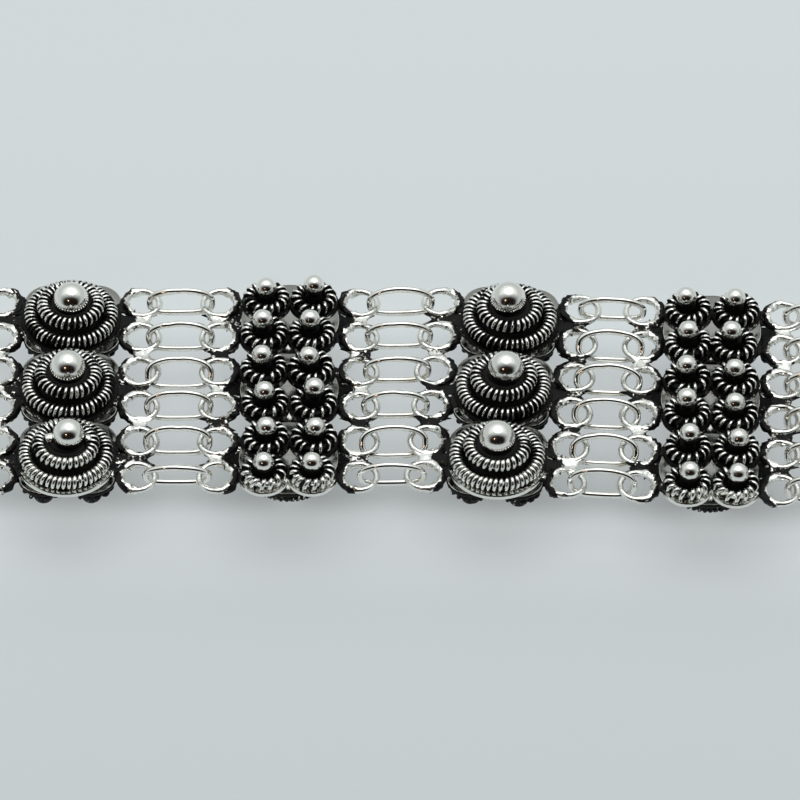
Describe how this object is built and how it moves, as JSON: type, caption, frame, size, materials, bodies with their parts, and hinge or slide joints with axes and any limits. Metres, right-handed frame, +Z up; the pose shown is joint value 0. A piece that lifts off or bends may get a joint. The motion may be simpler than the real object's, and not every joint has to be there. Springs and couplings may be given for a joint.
{
  "type": "filigree link bracelet",
  "caption": "Closed silver filigree link bracelet lying doubled flat, with coiled-wire knob panels and rosette panels joined by rows of oval links.",
  "frame": {"origin": "centre of the footprint, on the surface that the bracelet lies on", "axes": "+X along the band, +Y across it and away from the viewer, +Z up"},
  "size_m": [0.0952, 0.0302, 0.0116],
  "materials": {
    "oxidised_silver": "polished high spots, blackened recesses",
    "bright_silver": "polished",
    "plain_silver": "satin"
  },
  "bodies": {
    "root": {"knob_panel_1": "oxidised_silver", "knob_panel_2": "oxidised_silver", "knob_panel_3": "oxidised_silver", "knob_panel_4": "oxidised_silver", "knob_panel_5": "oxidised_silver", "rosette_panel_1": "oxidised_silver", "rosette_panel_2": "oxidised_silver", "rosette_panel_3": "oxidised_silver", "rosette_panel_4": "oxidised_silver", "clasp": "plain_silver", "link_row_1": "bright_silver", "link_row_2": "bright_silver", "link_row_3": "bright_silver", "link_row_4": "bright_silver", "link_row_5": "bright_silver", "link_row_6": "bright_silver", "link_row_7": "bright_silver", "link_row_8": "bright_silver", "link_row_9": "bright_silver", "link_row_10": "bright_silver"}
  },
  "joints": []
}
